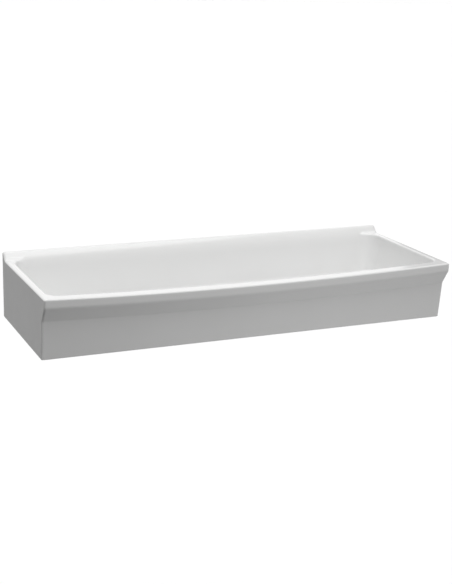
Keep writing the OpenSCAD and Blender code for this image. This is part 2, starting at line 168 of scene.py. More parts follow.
def peg(r, z0, z1, at=(0, 0, 0), lying=False, steps=64):
    """Round bar that stands up, or points from the wall towards the user, moved to a place."""
    bm = bmesh.new()
    bmesh.ops.create_cone(
        bm, cap_ends=True, segments=steps, radius1=r, radius2=r, depth=z1 - z0,
        matrix=Matrix.Translation((0, 0, (z0 + z1) / 2)),
    )
    if lying:
        bmesh.ops.rotate(bm, verts=bm.verts, matrix=Matrix.Rotation(pi / 2, 3, "X"))
    bmesh.ops.translate(bm, verts=bm.verts, vec=at)
    return bm


def arc(cx, cy, r, start, end, steps):
    """Points along part of a circle, angles in degrees."""
    return [
        (cx + r * cos(radians(start + (end - start) * i / steps)),
         cy + r * sin(radians(start + (end - start) * i / steps)))
        for i in range(steps + 1)
    ]


def as_mesh(bm, name):
    """Turns a finished form into a mesh."""
    mesh = bpy.data.meshes.new(name)
    bm.to_mesh(mesh)
    bm.free()
    return mesh


def carved(bm, *steps):
    """Joins forms to one, or cuts them from it: each step is (operation, form)."""
    def solid(form):
        made = bpy.data.objects.new("form", as_mesh(form, "form"))
        for _ in range(THIN + 1):
            made.data.materials.append(None)
        scene.collection.objects.link(made)
        return made
    main, tools = solid(bm), []
    for operation, form in steps:
        tool = solid(form)
        cut = main.modifiers.new(operation, "BOOLEAN")
        cut.operation, cut.object, cut.solver = operation, tool, "EXACT"
        tools.append(tool)
    bpy.context.view_layer.update()
    result = bmesh.new()
    result.from_mesh(main.evaluated_get(bpy.context.evaluated_depsgraph_get()).data)
    for spent in [main, *tools]:
        bpy.data.objects.remove(spent)
    bmesh.ops.remove_doubles(result, verts=result.verts, dist=0.002)
    bmesh.ops.dissolve_degenerate(result, edges=result.edges, dist=0.002)
    return result


def joined(bm, *others):
    """Adds more shells to a form without cutting them."""
    for other in others:
        bm.from_mesh(as_mesh(other, "shell"))
    return bm


SHARP = radians(32)  # edges that turn more than this keep a crease


def piece(name, bm, node, materials, shade=None):
    """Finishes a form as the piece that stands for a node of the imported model."""
    bmesh.ops.translate(bm, verts=bm.verts, vec=(0, 0, BASE))
    bmesh.ops.scale(bm, verts=bm.verts, vec=(0.001, 0.001, 0.001))
    for face in bm.faces:
        face.smooth = True
        face.material_index = shade(face) if shade else 0
    for edge in bm.edges:
        if len(edge.link_faces) == 2:
            edge.smooth = edge.calc_face_angle() < SHARP
    made = bpy.data.objects.new(name, as_mesh(bm, name))
    scene.collection.objects.link(made)
    for material in materials:
        made.data.materials.append(material)
    even = made.modifiers.new("even_shading", "WEIGHTED_NORMAL")
    even.keep_sharp, even.weight = True, 60
    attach(made, "root")
    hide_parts(node)
    return made


# ---------------------------------------------------------------- the trough

# How many steps an outline takes along a corner and a straight side, and how many levels the form takes
# up the bottom edge, the apron, a rounded edge, the cove, the bowl's wall and the upstand.
CORNER, SIDE, BOTTOM, APRON, EDGE, COVE, WALL, RISE = 14, 48, 4, 8, 10, 20, 13, 8
DIP_R = (HALF_L**2 + DIP**2) / (2 * DIP)


def dip(x):
    """How far the front rim lies below the side rims, along one long arc."""
    return sqrt(DIP_R**2 - min(x * x, HALF_L**2)) - DIP_R + DIP


def outline(hx, y_front, y_rear, r_front, r_rear):
    """Round-cornered rectangle, anticlockwise from the front left."""
    front = [((hx - r_front) * (2 * i / SIDE - 1), y_front) for i in range(1, SIDE)]
    rear = [((hx - r_rear) * (1 - 2 * i / SIDE), y_rear) for i in range(1, SIDE)]
    return (
        arc(r_front - hx, y_front + r_front, r_front, 180, 270, CORNER)
        + front
        + arc(hx - r_front, y_front + r_front, r_front, 270, 360, CORNER)
        + arc(hx - r_rear, y_rear - r_rear, r_rear, 0, 90, CORNER)
        + rear
        + arc(r_rear - hx, y_rear - r_rear, r_rear, 90, 180, CORNER)
    )


def level(points, z, follow=0.0):
    """Sets an outline at a height; its front half takes a share of the front rim's dip."""
    return [(x, y, z - follow * dip(x) if y < -DEPTH / 2 else z) for x, y in points]


# The run of the lip's straight slope, and the apron's height, up to the rounding at the slope's foot.
LIP_RUN = LIP_OUT - (LIP_TOP_R + LIP_FOOT_R) * (1 - cos(LIP_SLOPE))
APRON_H = RIM - LIP_FACE - (LIP_TOP_R + LIP_FOOT_R) * sin(LIP_SLOPE) - LIP_RUN / tan(LIP_SLOPE)


def front_profile():
    """[distance in from the lip, height, inset of the ends, share of the dip], bottom to top."""
    back = LIP_OUT + APRON_LEAN
    rows = []
    for i in range(BOTTOM + 1):
        a = pi / 2 * i / BOTTOM
        in_by = BOTTOM_R * (1 - sin(a))
        rows.append((back + in_by, BOTTOM_R * (1 - cos(a)), in_by, 0))
    for i in range(1, APRON):
        share = i / APRON
        rows.append((back - APRON_LEAN * share, BOTTOM_R + (APRON_H - BOTTOM_R) * share, 0, share))
    for i in range(EDGE + 1):
        a = LIP_SLOPE * i / EDGE
        rows.append((LIP_OUT - LIP_FOOT_R * (1 - cos(a)), APRON_H + LIP_FOOT_R * sin(a), 0, 1))
    for i in range(EDGE, -1, -1):
        a = LIP_SLOPE * i / EDGE
        rows.append((LIP_TOP_R * (1 - cos(a)), RIM - LIP_FACE - LIP_TOP_R * sin(a), 0, 1))
    for i in range(EDGE + 1):
        a = pi / 2 * i / EDGE
        rows.append((EDGE_R * (1 - cos(a)), RIM - EDGE_R * (1 - sin(a)), END_R * (1 - cos(a)), 1))
    return rows


# The rear wall leans up into the upstand and rolls over to its crest. The places are
# (distance from the back, height).
CREST = (CREST_FLAT, RIM + UPSTAND_H - CREST_R)
SHOULDER_AT = (CREST[0] + CREST_R * cos(SHOULDER), CREST[1] + CREST_R * sin(SHOULDER))
ROLL_R = (SHOULDER_AT[1] - ROLL_FOOT) / (sin(SHOULDER) - sin(REAR_SLOPE))
ROLL = (SHOULDER_AT[0] - ROLL_R * cos(SHOULDER), SHOULDER_AT[1] - ROLL_R * sin(SHOULDER))
# What the bowl takes off the upstand's face, so that one surface runs through, and how much less of it
# per millimetre up the upstand.
TRIM, TRIM_FADE = 0.2, 0.01


def rear_depth(z):
    """Distance of the rear wall from the back at height z, up to the shoulder."""
    if z < ROLL_FOOT:
        return ROLL[0] + ROLL_R * cos(REAR_SLOPE) + (ROLL_FOOT - z) * tan(REAR_SLOPE)
    return ROLL[0] + sqrt(ROLL_R**2 - (z - ROLL[1])**2)


def mouth(wide, rise=0.0):
    """Outline of the bowl's mouth, widened over the side and front rims, some way above them."""
    trim = TRIM - TRIM_FADE * max(0, rise)
    return outline(
        HALF_L - SIDE_RIM + wide,
        FRONT_RIM - DEPTH - wide,
        min(0, wide) - rear_depth(RIM + rise) + trim,
        FRONT_CORNER + wide,
        REAR_CORNER + min(0, wide),
    )


def wall_inset(depth, slope):
    """How far a wall has come in at a depth; the rear one counts from the back."""
    if slope == REAR_SLOPE:
        return rear_depth(RIM - depth) - TRIM
    if depth < WALL_BEND:
        return depth * depth * tan(slope) / (2 * WALL_BEND)
    return (depth - WALL_BEND / 2) * tan(slope)


def inset(z, slope, out):
    """How far a wall and the cove at its foot have come in at height z."""
    r, centre = COVE_R + out, FLOOR_Z + COVE_R
    tangent = centre - r * sin(slope)
    if z > tangent:
        return wall_inset(RIM - z, slope) - out / cos(slope)
    start = wall_inset(RIM - tangent, slope) - out / cos(slope) + r * cos(slope)
    return start - sqrt(max(0, r * r - (centre - z) ** 2))


def bowl_outline(z, out=0.0):
    """Outline of the bowl's walls at height z, or of their outside, some thickness out."""
    share = min(1, (RIM - z) / (RIM - FLOOR_Z))
    return outline(
        HALF_L - SIDE_RIM - inset(z, END_SLOPE, out),
        FRONT_RIM - DEPTH + inset(z, FRONT_SLOPE, out),
        -inset(z, REAR_SLOPE, out),
        FRONT_CORNER + (FOOT_CORNER - FRONT_CORNER) * share + out,
        REAR_CORNER + (FOOT_CORNER - REAR_CORNER) * share + out,
    )


def towards_waste(points, share, land):
    """Draws an outline in to the round land about the waste."""
    drawn = []
    for x, y in points:
        away = hypot(x, y - WASTE_Y)
        reach = away * (1 - share) + land * share
        drawn.append((x * reach / away, WASTE_Y + (y - WASTE_Y) * reach / away))
    return drawn


LAND = FLANGE_R + 6  # radius of the flat land about the waste
DISH = 1.6  # how fast the floor's fall flattens out towards it
COVE_TURN, EDGE_TURN = radians(82), radians(84)  # how much of the roundings at the walls' foot and top
ABOVE, REAR_BAND = 4, 40  # the bowl's space goes on past the shoulder, sloping back along the rear


def bowl():
    """The space inside the trough, up past the upstand."""
    edge = bowl_outline(FLOOR_Z)
    levels = []
    for share in (1, 0.92, 0.84, 0.72, 0.58, 0.42, 0.28, 0.14, 0.05):
        fall = FLOOR_FALL * (1 - (1 - share) ** DISH)
        levels.append(level(towards_waste(edge, share, LAND), FLOOR_Z - fall))
    for i in range(COVE + 1):
        z = FLOOR_Z + COVE_R * (1 - cos(COVE_TURN * i / COVE))
        levels.append(level(bowl_outline(z), z))
    mouth_z = RIM - EDGE_R
    start = FLOOR_Z + COVE_R * (1 - cos(COVE_TURN))
    for i in range(1, WALL):
        z = start + (mouth_z - start) * i / WALL
        levels.append(level(bowl_outline(z), z, max(0, 1 - (mouth_z - z) / WALL_BEND)))
    for i in range(EDGE + 1):
        a = EDGE_TURN * i / EDGE
        rise = EDGE_R * (sin(a) - 1)
        levels.append(level(mouth(EDGE_R * (1 - cos(a)), rise), RIM + rise, 1))
    shoulder = SHOULDER_AT[1] - RIM
    for i in range(1, RISE + 1):
        rise = shoulder * i / RISE
        levels.append(level(mouth(EDGE_R + 1, rise), RIM + rise, 1))
    top = [(x, y + ABOVE if y > -REAR_BAND else y, RIM + shoulder + ABOVE) for x, y, z in levels[-1]]
    return lofted(levels + [top])


def outer_form():
    """Skirt, lip and flat rims, closed inside the bowl's space."""
    levels = [
        level(
            outline(HALF_L - ends, back - DEPTH, 0, max(REAR_ARRIS_R, ARRIS_R - ends), REAR_ARRIS_R),
            z, share,
        )
        for back, z, ends, share in front_profile()
    ]
    levels.append(level(mouth(-2), RIM, 1))
    levels.append(level(mouth(-15), RIM - 30))
    return lofted(levels)


def upstand_section(shrink):
    """The upstand's outline across its length, drawn in from its top and face."""
    foot, low = RIM - 2 * EDGE_R, RIM - TRIM
    turn = asin((low + SWEEP_R - ROLL[1]) / (ROLL_R + SWEEP_R))
    sweep = (ROLL[0] + (ROLL_R + SWEEP_R) * cos(turn), low + SWEEP_R)
    return (
        [(0, foot), (0, RIM + UPSTAND_H - shrink)]
        + arc(*CREST, CREST_R - shrink, 90, degrees(SHOULDER), EDGE)
        + arc(*ROLL, ROLL_R - shrink, degrees(SHOULDER), degrees(turn), 6)[1:]
        + arc(*sweep, SWEEP_R + shrink, 180 + degrees(turn), 270, EDGE)[1:]
        + [(sweep[0], foot)]
    )


def upstand():
    """Low wall along the back, its ends rounded over like the rim's edges."""
    rings = []
    for i in range(EDGE + 1):
        a = pi / 2 * i / EDGE
        x = HALF_L - END_R * (1 - sin(a))
        rings.append([(x, -y, z) for y, z in upstand_section(EDGE_R * (1 - cos(a)))])
    return lofted([[(-x, y, z) for x, y, z in ring] for ring in reversed(rings)] + rings)


def skirt_inside(z, wide=0.0):
    """Outline of the skirt's inner face, which leans with the apron."""
    lean = APRON_LEAN * z / APRON_H
    return outline(
        HALF_L - SKIRT_T + wide,
        LIP_OUT + APRON_LEAN - DEPTH - lean + SKIRT_T - wide,
        -SKIRT_T + wide,
        HOLLOW_R,
        HOLLOW_R,
    )


def under_bowl():
    """The fireclay of the bowl and all above it, which the hollow leaves standing."""
    low = FLOOR_Z - SHELL_T
    middle = towards_waste(bowl_outline(low, SHELL_T), 0.8, 10)
    levels = [level(middle, low - FLOOR_FALL)]
    for i in range(COVE + 1):
        z = low + (COVE_R + SHELL_T) * (1 - cos(radians(80) * i / COVE))
        levels.append(level(bowl_outline(z, SHELL_T), z))
    levels.append(level(bowl_outline(RIM, SHELL_T), RIM))
    return lofted(levels)


def web(x):
    """Cross web with a rounded lower edge."""
    bm = block((x, -DEPTH / 2, WEB_RISE + HOLLOW_H / 2), (WEB_T, DEPTH, HOLLOW_H))
    foot = [e for e in bm.edges if all(v.co.z < WEB_RISE + 1 for v in e.verts)
            and abs(e.verts[0].co.x - e.verts[1].co.x) < 1]
    return rounded(bm, foot, WEB_EDGE_R, 6)


def hollow():
    """The space under the bowl, between the skirt, the webs, the boss and the bolt pads."""
    r = SKIRT_EDGE_R
    levels = [level(skirt_inside(0, r + 1), -1)]
    levels += [level(skirt_inside(z, r - sqrt(r * r - (r - z) ** 2)), z) for z in (0, 0.6, 1.4, 2.4, r)]
    levels += [level(skirt_inside(z), z) for z in (30, 60, 90, HOLLOW_H)]
    kept = [under_bowl(), web(-WEB_X), web(WEB_X)]
    kept.append(peg(BOSS_R, UNDER_Z, UNDER_Z + HOLLOW_H, at=(0, WASTE_Y, 0)))
    kept += [peg(PAD_R, -1, PAD_FACE, at=(x, 0, BOLT_Z), lying=True) for x in BOLT_XS]
    space = carved(lofted(levels), *(("DIFFERENCE", form) for form in kept))
    for face in space.faces:
        face.material_index = THIN
    return space


def trough():
    """The whole casting, with its seat for the waste and its bolt holes."""
    cut = [bowl(), hollow()]
    cut.append(peg(FLANGE_R + 1, SEAT_Z, SEAT_Z + 20, at=(0, WASTE_Y, 0), steps=96))
    cut.append(peg(WASTE_HOLE_R, UNDER_Z - 1, SEAT_Z + 1, at=(0, WASTE_Y, 0), steps=96))
    for x in BOLT_XS:
        cut.append(peg(SLEEVE_R + SLEEVE_GAP, -1, PAD_FACE + 1, at=(x, 0, BOLT_Z), lying=True))
    return carved(outer_form(), ("UNION", upstand()), *(("DIFFERENCE", form) for form in cut))


def body_finish(face):
    """Bare where the back and the bottom edge were ground flat, thinly or fully glazed elsewhere."""
    place, facing = face.calc_center_median() * 1000, face.normal
    back = facing.y > 0.98 and place.y > -0.6
    bottom = facing.z < -0.98 and place.z < BASE + 0.5
    return BARE if back or bottom else face.material_index


# ---------------------------------------------------------------- waste outlet

SUNK = 0.2  # how far a thread's ridge starts inside its root


def thread(root, crest, pitch, z0, z1, steps=36, flat=0.12):
    """Helical ridge of a screw thread that dies away at both ends."""
    bm = bmesh.new()
    foot, half, top = root - SUNK, pitch * 0.46, pitch * flat / 2
    ring = closed_ring(bm, [(foot, 0, -half), (crest, 0, -top), (crest, 0, top), (foot, 0, half)])
    bmesh.ops.translate(bm, verts=bm.verts, vec=(0, 0, z0 + half))
    turns = (z1 - z0 - 2 * half) / pitch
    total = int(turns * steps)
    bmesh.ops.contextual_create(bm, geom=ring)
    end = bmesh.ops.spin(
        bm, geom=ring, axis=(0, 0, 1), cent=(0, 0, 0), dvec=(0, 0, pitch / steps),
        angle=tau * total / steps, steps=total,
    )["geom_last"]
    bmesh.ops.contextual_create(bm, geom=[e for e in end if isinstance(e, bmesh.types.BMEdge)])
    for v in bm.verts:
        r = hypot(v.co.x, v.co.y)
        share = min(1, (v.co.z - z0) / pitch, (z1 - v.co.z) / pitch)
        if r > root:
            v.co.xy *= (foot + (r - foot) * max(0, share)) / r
    bmesh.ops.recalc_face_normals(bm, faces=bm.faces)
    return bm


def at_waste(bm):
    """Sets a form on the waste's axis."""
    bmesh.ops.translate(bm, verts=bm.verts, vec=(0, WASTE_Y, 0))
    return bm


def at_bolts(bm):
    """Turns a form to point from the wall towards the user, and sets one at each bolt."""
    bmesh.ops.rotate(bm, verts=bm.verts, matrix=Matrix.Rotation(pi / 2, 3, "X"))
    bmesh.ops.translate(bm, verts=bm.verts, vec=(BOLT_XS[0], 0, BOLT_Z))
    first = bm.verts[:] + bm.edges[:] + bm.faces[:]
    for x in BOLT_XS[1:]:
        copy = bmesh.ops.duplicate(bm, geom=first)["geom"]
        corners = [v for v in copy if isinstance(v, bmesh.types.BMVert)]
        bmesh.ops.translate(bm, verts=corners, vec=(x - BOLT_XS[0], 0, 0))
    return bm


def waste_tail():
    """Turned body: dished flange, strainer ledge, cross bar, and a tail with a pipe thread."""
    neck, ledge_r = THREAD_R - 0.05, GRID_R + 0.15
    profile = [
        (BORE_R, -TAIL_BELOW), (TAIL_R - 0.4, -TAIL_BELOW), (TAIL_R, 0.4 - TAIL_BELOW), (TAIL_R, 3.5),
        (20.15, 3.6), (20.15, 4.9), (neck, 5.1), (neck, FLANGE_Z),
        (FLANGE_R - 0.3, FLANGE_Z), (FLANGE_R, FLANGE_Z + 0.3),
    ]
    profile += arc(FLANGE_R - 2, FLANGE_Z + 0.6, 2.0, 0, 78, 8)
    profile += [(28.4, FLANGE_TOP), (26, FLANGE_TOP - 0.2), (22.5, FLANGE_TOP - 0.7), (20.3, GRID_TOP)]
    profile += arc(ledge_r + 0.5, GRID_TOP - 0.5, 0.5, 90, 180, 4)
    profile += [(ledge_r, LEDGE_Z), (BORE_R + 0.2, LEDGE_Z), (BORE_R, LEDGE_Z - 0.2)]
    bar = block((0, 0, BAR_Z), (BAR_L, BAR_T, BAR_H))
    rounded(bar, bar.edges, 0.6, 3)
    low, high = BAR_Z - BAR_H / 2, BAR_Z + BAR_H / 2
    hub = turned([
        (0, low), (HUB_R - 0.4, low), (HUB_R, low + 0.4),
        (HUB_R, high - 0.4), (HUB_R - 0.4, high), (0, high),
    ], 40)
    tapped = peg(SCREW_R + 0.1, 20, 40)
    body = carved(turned(profile), ("UNION", bar), ("UNION", hub), ("DIFFERENCE", tapped))
    return at_waste(joined(body, thread(TAIL_R, THREAD_R, THREAD_PITCH, 0.8 - TAIL_BELOW, 3.3)))


# The strainer's rings of holes: (how many, share of its radius that they lie out)
GRID_RINGS = ((6, 0.44), (12, 0.76))


def strainer():
    """Flat round grid with two rings of countersunk holes."""
    below, above, rim = LEDGE_Z - 1.5, GRID_TOP + 1.5, GRID_TOP + 0.01
    plate = turned([
        (0, LEDGE_Z), (GRID_R - 0.3, LEDGE_Z), (GRID_R, LEDGE_Z + 0.3),
        (GRID_R, GRID_TOP - 0.4), (GRID_R - 0.4, GRID_TOP), (0, GRID_TOP),
    ])
    holes = [turned([
        (0, below), (SCREW_R + 0.15, below), (SCREW_R + 0.15, 38.0), (SCREW_HEAD_R + 0.25, rim),
        (SCREW_HEAD_R + 0.25, above), (0, above),
    ], 40)]
    for count, share in GRID_RINGS:
        for i in range(count):
            hole = turned([
                (0, below), (GRID_HOLE_R + 0.4, below), (GRID_HOLE_R + 0.4, LEDGE_Z - 0.01),
                (GRID_HOLE_R, LEDGE_Z + 0.4), (GRID_HOLE_R, GRID_TOP - 0.4), (GRID_HOLE_R + 0.45, rim),
                (GRID_HOLE_R + 0.45, above), (0, above),
            ], 24)
            a, away = tau * i / count, GRID_R * share
            bmesh.ops.translate(hole, verts=hole.verts, vec=(away * cos(a), away * sin(a), 0))
            holes.append(hole)
    return at_waste(carved(plate, *(("DIFFERENCE", hole) for hole in holes)))


def strainer_screw():
    """Slotted countersunk screw, flush with the strainer."""
    point = GRID_TOP - SCREW_L
    shank, neck = point + 0.5, 37.6
    head = turned([
        (0, point), (SCREW_ROOT - 0.4, point), (SCREW_ROOT, shank), (SCREW_ROOT, neck), (2.4, neck + 0.4),
        (SCREW_HEAD_R - 0.1, GRID_TOP - 0.15), (SCREW_HEAD_R, GRID_TOP), (0, GRID_TOP),
    ], 48)
    slot = block((0, 0, GRID_TOP), (14, 1, 2))
    slotted = carved(head, ("DIFFERENCE", slot))
    return at_waste(joined(slotted, thread(SCREW_ROOT, SCREW_R, SCREW_PITCH, shank, neck, 20)))


def washer_ring(r_in, r_out, z0, z1, soft, steps=96):
    """Flat ring with softened edges."""
    rim = arc(r_out - soft, z0 + soft, soft, 270, 360, 4) + arc(r_out - soft, z1 - soft, soft, 0, 90, 4)
    return turned(
        [(r_in + soft, z0)] + rim + [(r_in + soft, z1), (r_in, z1 - soft), (r_in, z0 + soft)], steps
    )


def under_seal():
    """Thick rubber ring, rounded most at its lower rim, its top a little below the boss."""
    top, bore = UNDER_Z - 0.2, THREAD_R + 0.15
    profile = [(bore + 0.2, SLIP_TOP), (31.2, SLIP_TOP)]
    profile += arc(UNDER_SEAL_R - 1.7, SLIP_TOP + 1.3, 1.7, 300, 350, 5)
    profile += arc(UNDER_SEAL_R - 0.6, top - 0.6, 0.6, 0, 90, 4)
    profile += [(bore + 0.2, top), (bore, top - 0.2), (bore, SLIP_TOP + 0.2)]
    return at_waste(turned(profile))


def hexagon(across, z0, z1):
    """Six-sided bar, its upright edges slightly rounded."""
    bm = bmesh.new()
    r = across / 2 / cos(pi / 6)
    bmesh.ops.create_cone(
        bm, cap_ends=True, segments=6, radius1=r, radius2=r, depth=z1 - z0,
        matrix=Matrix.Translation((0, 0, (z0 + z1) / 2)),
    )
    upright = [e for e in bm.edges if abs(e.verts[0].co.z - e.verts[1].co.z) > 1]
    return rounded(bm, upright, 0.35, 3)


def back_nut():
    """Large hexagon with a pressed collar that bears on the slip washer."""
    corner, bore, over = 30.4, THREAD_R + 0.15, NUT_TOP + 1
    lathe = turned([
        (0, NUT_FOOT), (corner - 2.2, NUT_FOOT), (corner, NUT_FOOT + 2.2), (corner, over), (0, over),
    ])
    collar = turned([
        (22, NUT_TOP - 2.8), (corner, NUT_TOP - 2.5), (corner + 0.6, NUT_TOP - 1.9),
        (corner + 0.6, NUT_TOP - 0.4), (corner + 0.2, NUT_TOP), (22, NUT_TOP),
    ])
    relief = turned([
        (0, NUT_FOOT - 1), (bore + 1.3, NUT_FOOT - 1), (bore + 1.3, NUT_FOOT), (bore, NUT_FOOT + 1.2),
        (bore, over), (0, over),
    ])
    body = hexagon(TAIL_NUT_AF, NUT_FOOT, NUT_TOP - 0.5)
    return at_waste(carved(body, ("INTERSECT", lathe), ("UNION", collar), ("DIFFERENCE", relief)))


# ---------------------------------------------------------------- wall fixings

def hanger_bolt():
    """Plain shank between a machine thread and a coarse wood thread that tapers to a point."""
    tip, taper = -BOLT_IN_WALL - 0.2, -54.0
    profile = [
        (0, BOLT_END), (MACHINE_ROOT - 0.25, BOLT_END), (MACHINE_ROOT, BOLT_END - 0.4),
        (MACHINE_ROOT, 21.2), (BOLT_R, 20.4), (BOLT_R, -3), (WOOD_ROOT, -4.4), (WOOD_ROOT, -55),
        (0.4, 0.6 - BOLT_IN_WALL), (0, -BOLT_IN_WALL),
    ]
    coarse = thread(WOOD_ROOT - 0.1, BOLT_R, WOOD_PITCH, 0.5 - BOLT_IN_WALL, -4.2, 28, 0.05)
    for v in coarse.verts:
        if v.co.z < taper:
            v.co.xy *= max(0.05, (v.co.z - tip) / (taper - tip))
    fine = thread(MACHINE_ROOT, BOLT_R, MACHINE_PITCH, 20.6, BOLT_END - 0.1, 28)
    return at_bolts(joined(turned(profile, 48), fine, coarse))


def wall_plug():
    """Nylon plug with barbed rings, split along its inner half."""
    profile = [(PLUG_BORE, 0), (PLUG_R - 0.2, 0), (PLUG_R, -0.3), (PLUG_R, -5)]
    for i in range(BARBS):
        z = -6.5 - BARB_PITCH * i
        profile += [(PLUG_R - 0.75, z), (PLUG_R, z - 4.6), (PLUG_R, z - 5.1)]
    profile += [(6.1, -64.2), (6.1, -66)] + arc(3.4, 2.7 - PLUG_L, 2.7, 0, -90, 6)
    profile += [(0, -PLUG_L), (0, -66.3), (PLUG_BORE, -66.3)]
    slit = block((0, 0, -53.5), (16, 1.6, 35))
    return at_bolts(carved(turned(profile, 56), ("DIFFERENCE", slit)))


def sleeve():
    """White sleeve that keeps the bolt off the fireclay, with a broad collar."""
    profile = [
        (SLEEVE_BORE, 0), (SLEEVE_R - 0.35, 0), (SLEEVE_R, 0.4), (SLEEVE_R, PAD_FACE - 0.4),
        (SLEEVE_R + 0.45, PAD_FACE), (COLLAR_R - 0.4, PAD_FACE),
    ]
    profile += arc(COLLAR_R - 0.8, COLLAR_FACE - 0.8, 0.8, 0, 90, 5)
    profile += [(SLEEVE_BORE + 0.5, COLLAR_FACE), (SLEEVE_BORE, COLLAR_FACE - 0.5)]
    return at_bolts(turned(profile, 64))


def bolt_nut():
    """Plain hexagon nut, turned off at its corners and opened out at both ends of its bore."""
    low, high, corner = WASHER_FACE, NUT_FACE, 9.9
    lathe = turned([
        (0, low), (corner - 1.4, low), (corner, low + 0.8), (corner, high - 1.1), (corner - 1.5, high),
        (0, high),
    ], 72)
    bore = turned([
        (0, low - 1.5), (BOLT_R + 0.6, low - 1.5), (BOLT_R + 0.6, low), (BOLT_R - 0.5, low + 0.9),
        (BOLT_R - 0.5, high - 0.9), (BOLT_R + 0.5, high), (BOLT_R + 0.5, high + 1.1), (0, high + 1.1),
    ], 48)
    return at_bolts(carved(hexagon(NUT_AF, low, high), ("INTERSECT", lathe), ("DIFFERENCE", bore)))


# ---------------------------------------------------------------- finishes

class Finish:
    """A material made of nodes round one shader."""

    def __init__(self, name, **values):
        self.material = bpy.data.materials.new(name)
        self.material.use_nodes = True
        self.tree = self.material.node_tree
        self.shader = self.tree.nodes["Principled BSDF"]
        for socket, value in values.items():
            self.shader.inputs[socket.replace("_", " ")].default_value = value
        self.place = self.node("ShaderNodeTexCoord").outputs["Object"]

    def node(self, kind, **settings):
        made = self.tree.nodes.new(kind)
        for key, value in settings.items():
            if key in made.inputs:
                made.inputs[key].default_value = value
            else:
                setattr(made, key, value)
        return made

    def join(self, output, target):
        self.tree.links.new(output, target)

    def stretched(self, *scale):
        """Object coordinates, drawn out or squeezed along the axes."""
        mapping = self.node("ShaderNodeMapping", Scale=scale)
        self.join(self.place, mapping.inputs["Vector"])
        return mapping.outputs["Vector"]

    def noise(self, scale, detail, place=None):
        made = self.node("ShaderNodeTexNoise", Scale=scale, Detail=detail)
        self.join(place or self.place, made.inputs["Vector"])
        return made.outputs["Fac"]

    def cells(self, scale):
        made = self.node("ShaderNodeTexVoronoi", Scale=scale)
        self.join(self.place, made.inputs["Vector"])
        return made

    def ramp(self, value, *stops):
        """Blends between (position, value or colour) stops."""
        made = self.node("ShaderNodeValToRGB")
        while len(made.color_ramp.elements) < len(stops):
            made.color_ramp.elements.new(1.0)
        for element, (at, colour) in zip(made.color_ramp.elements, stops):
            element.position = at
            element.color = (*colour, 1) if isinstance(colour, tuple) else (colour, colour, colour, 1)
        self.join(value, made.inputs["Fac"])
        return made.outputs["Color"]

    def colour(self, output):
        self.join(output, self.shader.inputs["Base Color"])

    def roughness(self, output):
        self.join(output, self.shader.inputs["Roughness"])

    def relief(self, *layers):
        """Stacks bumps, each (height, depth in metres, strength)."""
        normal = None
        for height, depth, strength in layers:
            bump = self.node("ShaderNodeBump", Distance=depth, Strength=strength)
            self.join(height, bump.inputs["Height"])
            if normal:
                self.join(normal, bump.inputs["Normal"])
            normal = bump.outputs["Normal"]
        self.join(normal, self.shader.inputs["Normal"])


def glaze():
    """White gloss glaze: faint waves where it flowed, fine orange peel and rare pinholes."""
    made = Finish("glaze", IOR=1.5, Coat_Weight=0.35, Coat_Roughness=0.04)
    flow = made.noise(5.0, 3.0)
    made.colour(made.ramp(flow, (0.3, (0.845, 0.846, 0.84)), (0.7, (0.865, 0.866, 0.862))))
    made.roughness(made.ramp(made.noise(30.0, 4.0), (0.3, 0.13), (0.7, 0.19)))
    pinholes = made.ramp(made.cells(95.0).outputs["Distance"], (0.0, 0.0), (0.035, 1.0))
    made.relief(
        (made.noise(14.0, 1.0), 0.0012, 0.10),
        (made.noise(420.0, 1.0), 0.00006, 0.25),
        (pinholes, 0.00008, 0.25),
    )
    return made.material


def thin_glaze():
    """The hollow underside, sprayed thinly so that the body shows through in places."""
    made = Finish("thin_glaze", IOR=1.5)
    cover = made.noise(16.0, 6.0)
    made.colour(made.ramp(cover, (0.35, (0.66, 0.63, 0.57)), (0.6, (0.8, 0.79, 0.76))))
    made.roughness(made.ramp(made.noise(22.0, 5.0), (0.35, 0.62), (0.65, 0.32)))
    made.relief((made.noise(60.0, 5.0), 0.0008, 0.25), (made.noise(700.0, 2.0), 0.0001, 0.4))
    return made.material


def bare_fireclay():
    """Ground body with dark grog specks and small pits."""
    made = Finish("bare_fireclay", IOR=1.45)
    specks = made.cells(420.0).outputs["Distance"]
    grog = made.ramp(specks, (0.06, (0.42, 0.36, 0.29)), (0.2, (0.71, 0.66, 0.57)))
    tone = made.ramp(made.noise(9.0, 5.0), (0.3, 0.9), (0.7, 1.0))
    mixed = made.node("ShaderNodeMix", data_type="RGBA", blend_type="MULTIPLY")
    mixed.inputs["Factor"].default_value = 1.0
    made.join(grog, mixed.inputs["A"])
    made.join(tone, mixed.inputs["B"])
    made.colour(mixed.outputs["Result"])
    made.roughness(made.ramp(made.noise(160.0, 4.0), (0.3, 0.82), (0.7, 0.97)))
    made.relief((made.noise(900.0, 4.0), 0.0003, 0.5), (made.noise(40.0, 3.0), 0.0006, 0.3))
    return made.material


def chrome():
    """Polished plate with faint streaks where it was wiped."""
    made = Finish("polished_chrome", Metallic=1.0)
    tone = made.noise(60.0, 2.0)
    made.colour(made.ramp(tone, (0.3, (0.78, 0.79, 0.8)), (0.7, (0.82, 0.83, 0.84))))
    wiped = made.noise(900.0, 3.0, made.stretched(1.0, 0.08, 1.0))
    made.roughness(made.ramp(wiped, (0.35, 0.06), (0.75, 0.2)))
    made.relief((wiped, 0.00002, 0.15))
    return made.material


def rubber():
    """Black rubber with a little bloom on it."""
    made = Finish("black_rubber", IOR=1.5)
    bloom = made.noise(140.0, 5.0)
    made.colour(made.ramp(bloom, (0.35, (0.022, 0.022, 0.023)), (0.75, (0.06, 0.06, 0.058))))
    made.roughness(made.ramp(made.noise(90.0, 4.0), (0.3, 0.55), (0.7, 0.8)))
    made.relief((made.noise(1400.0, 3.0), 0.0001, 0.4))
    return made.material


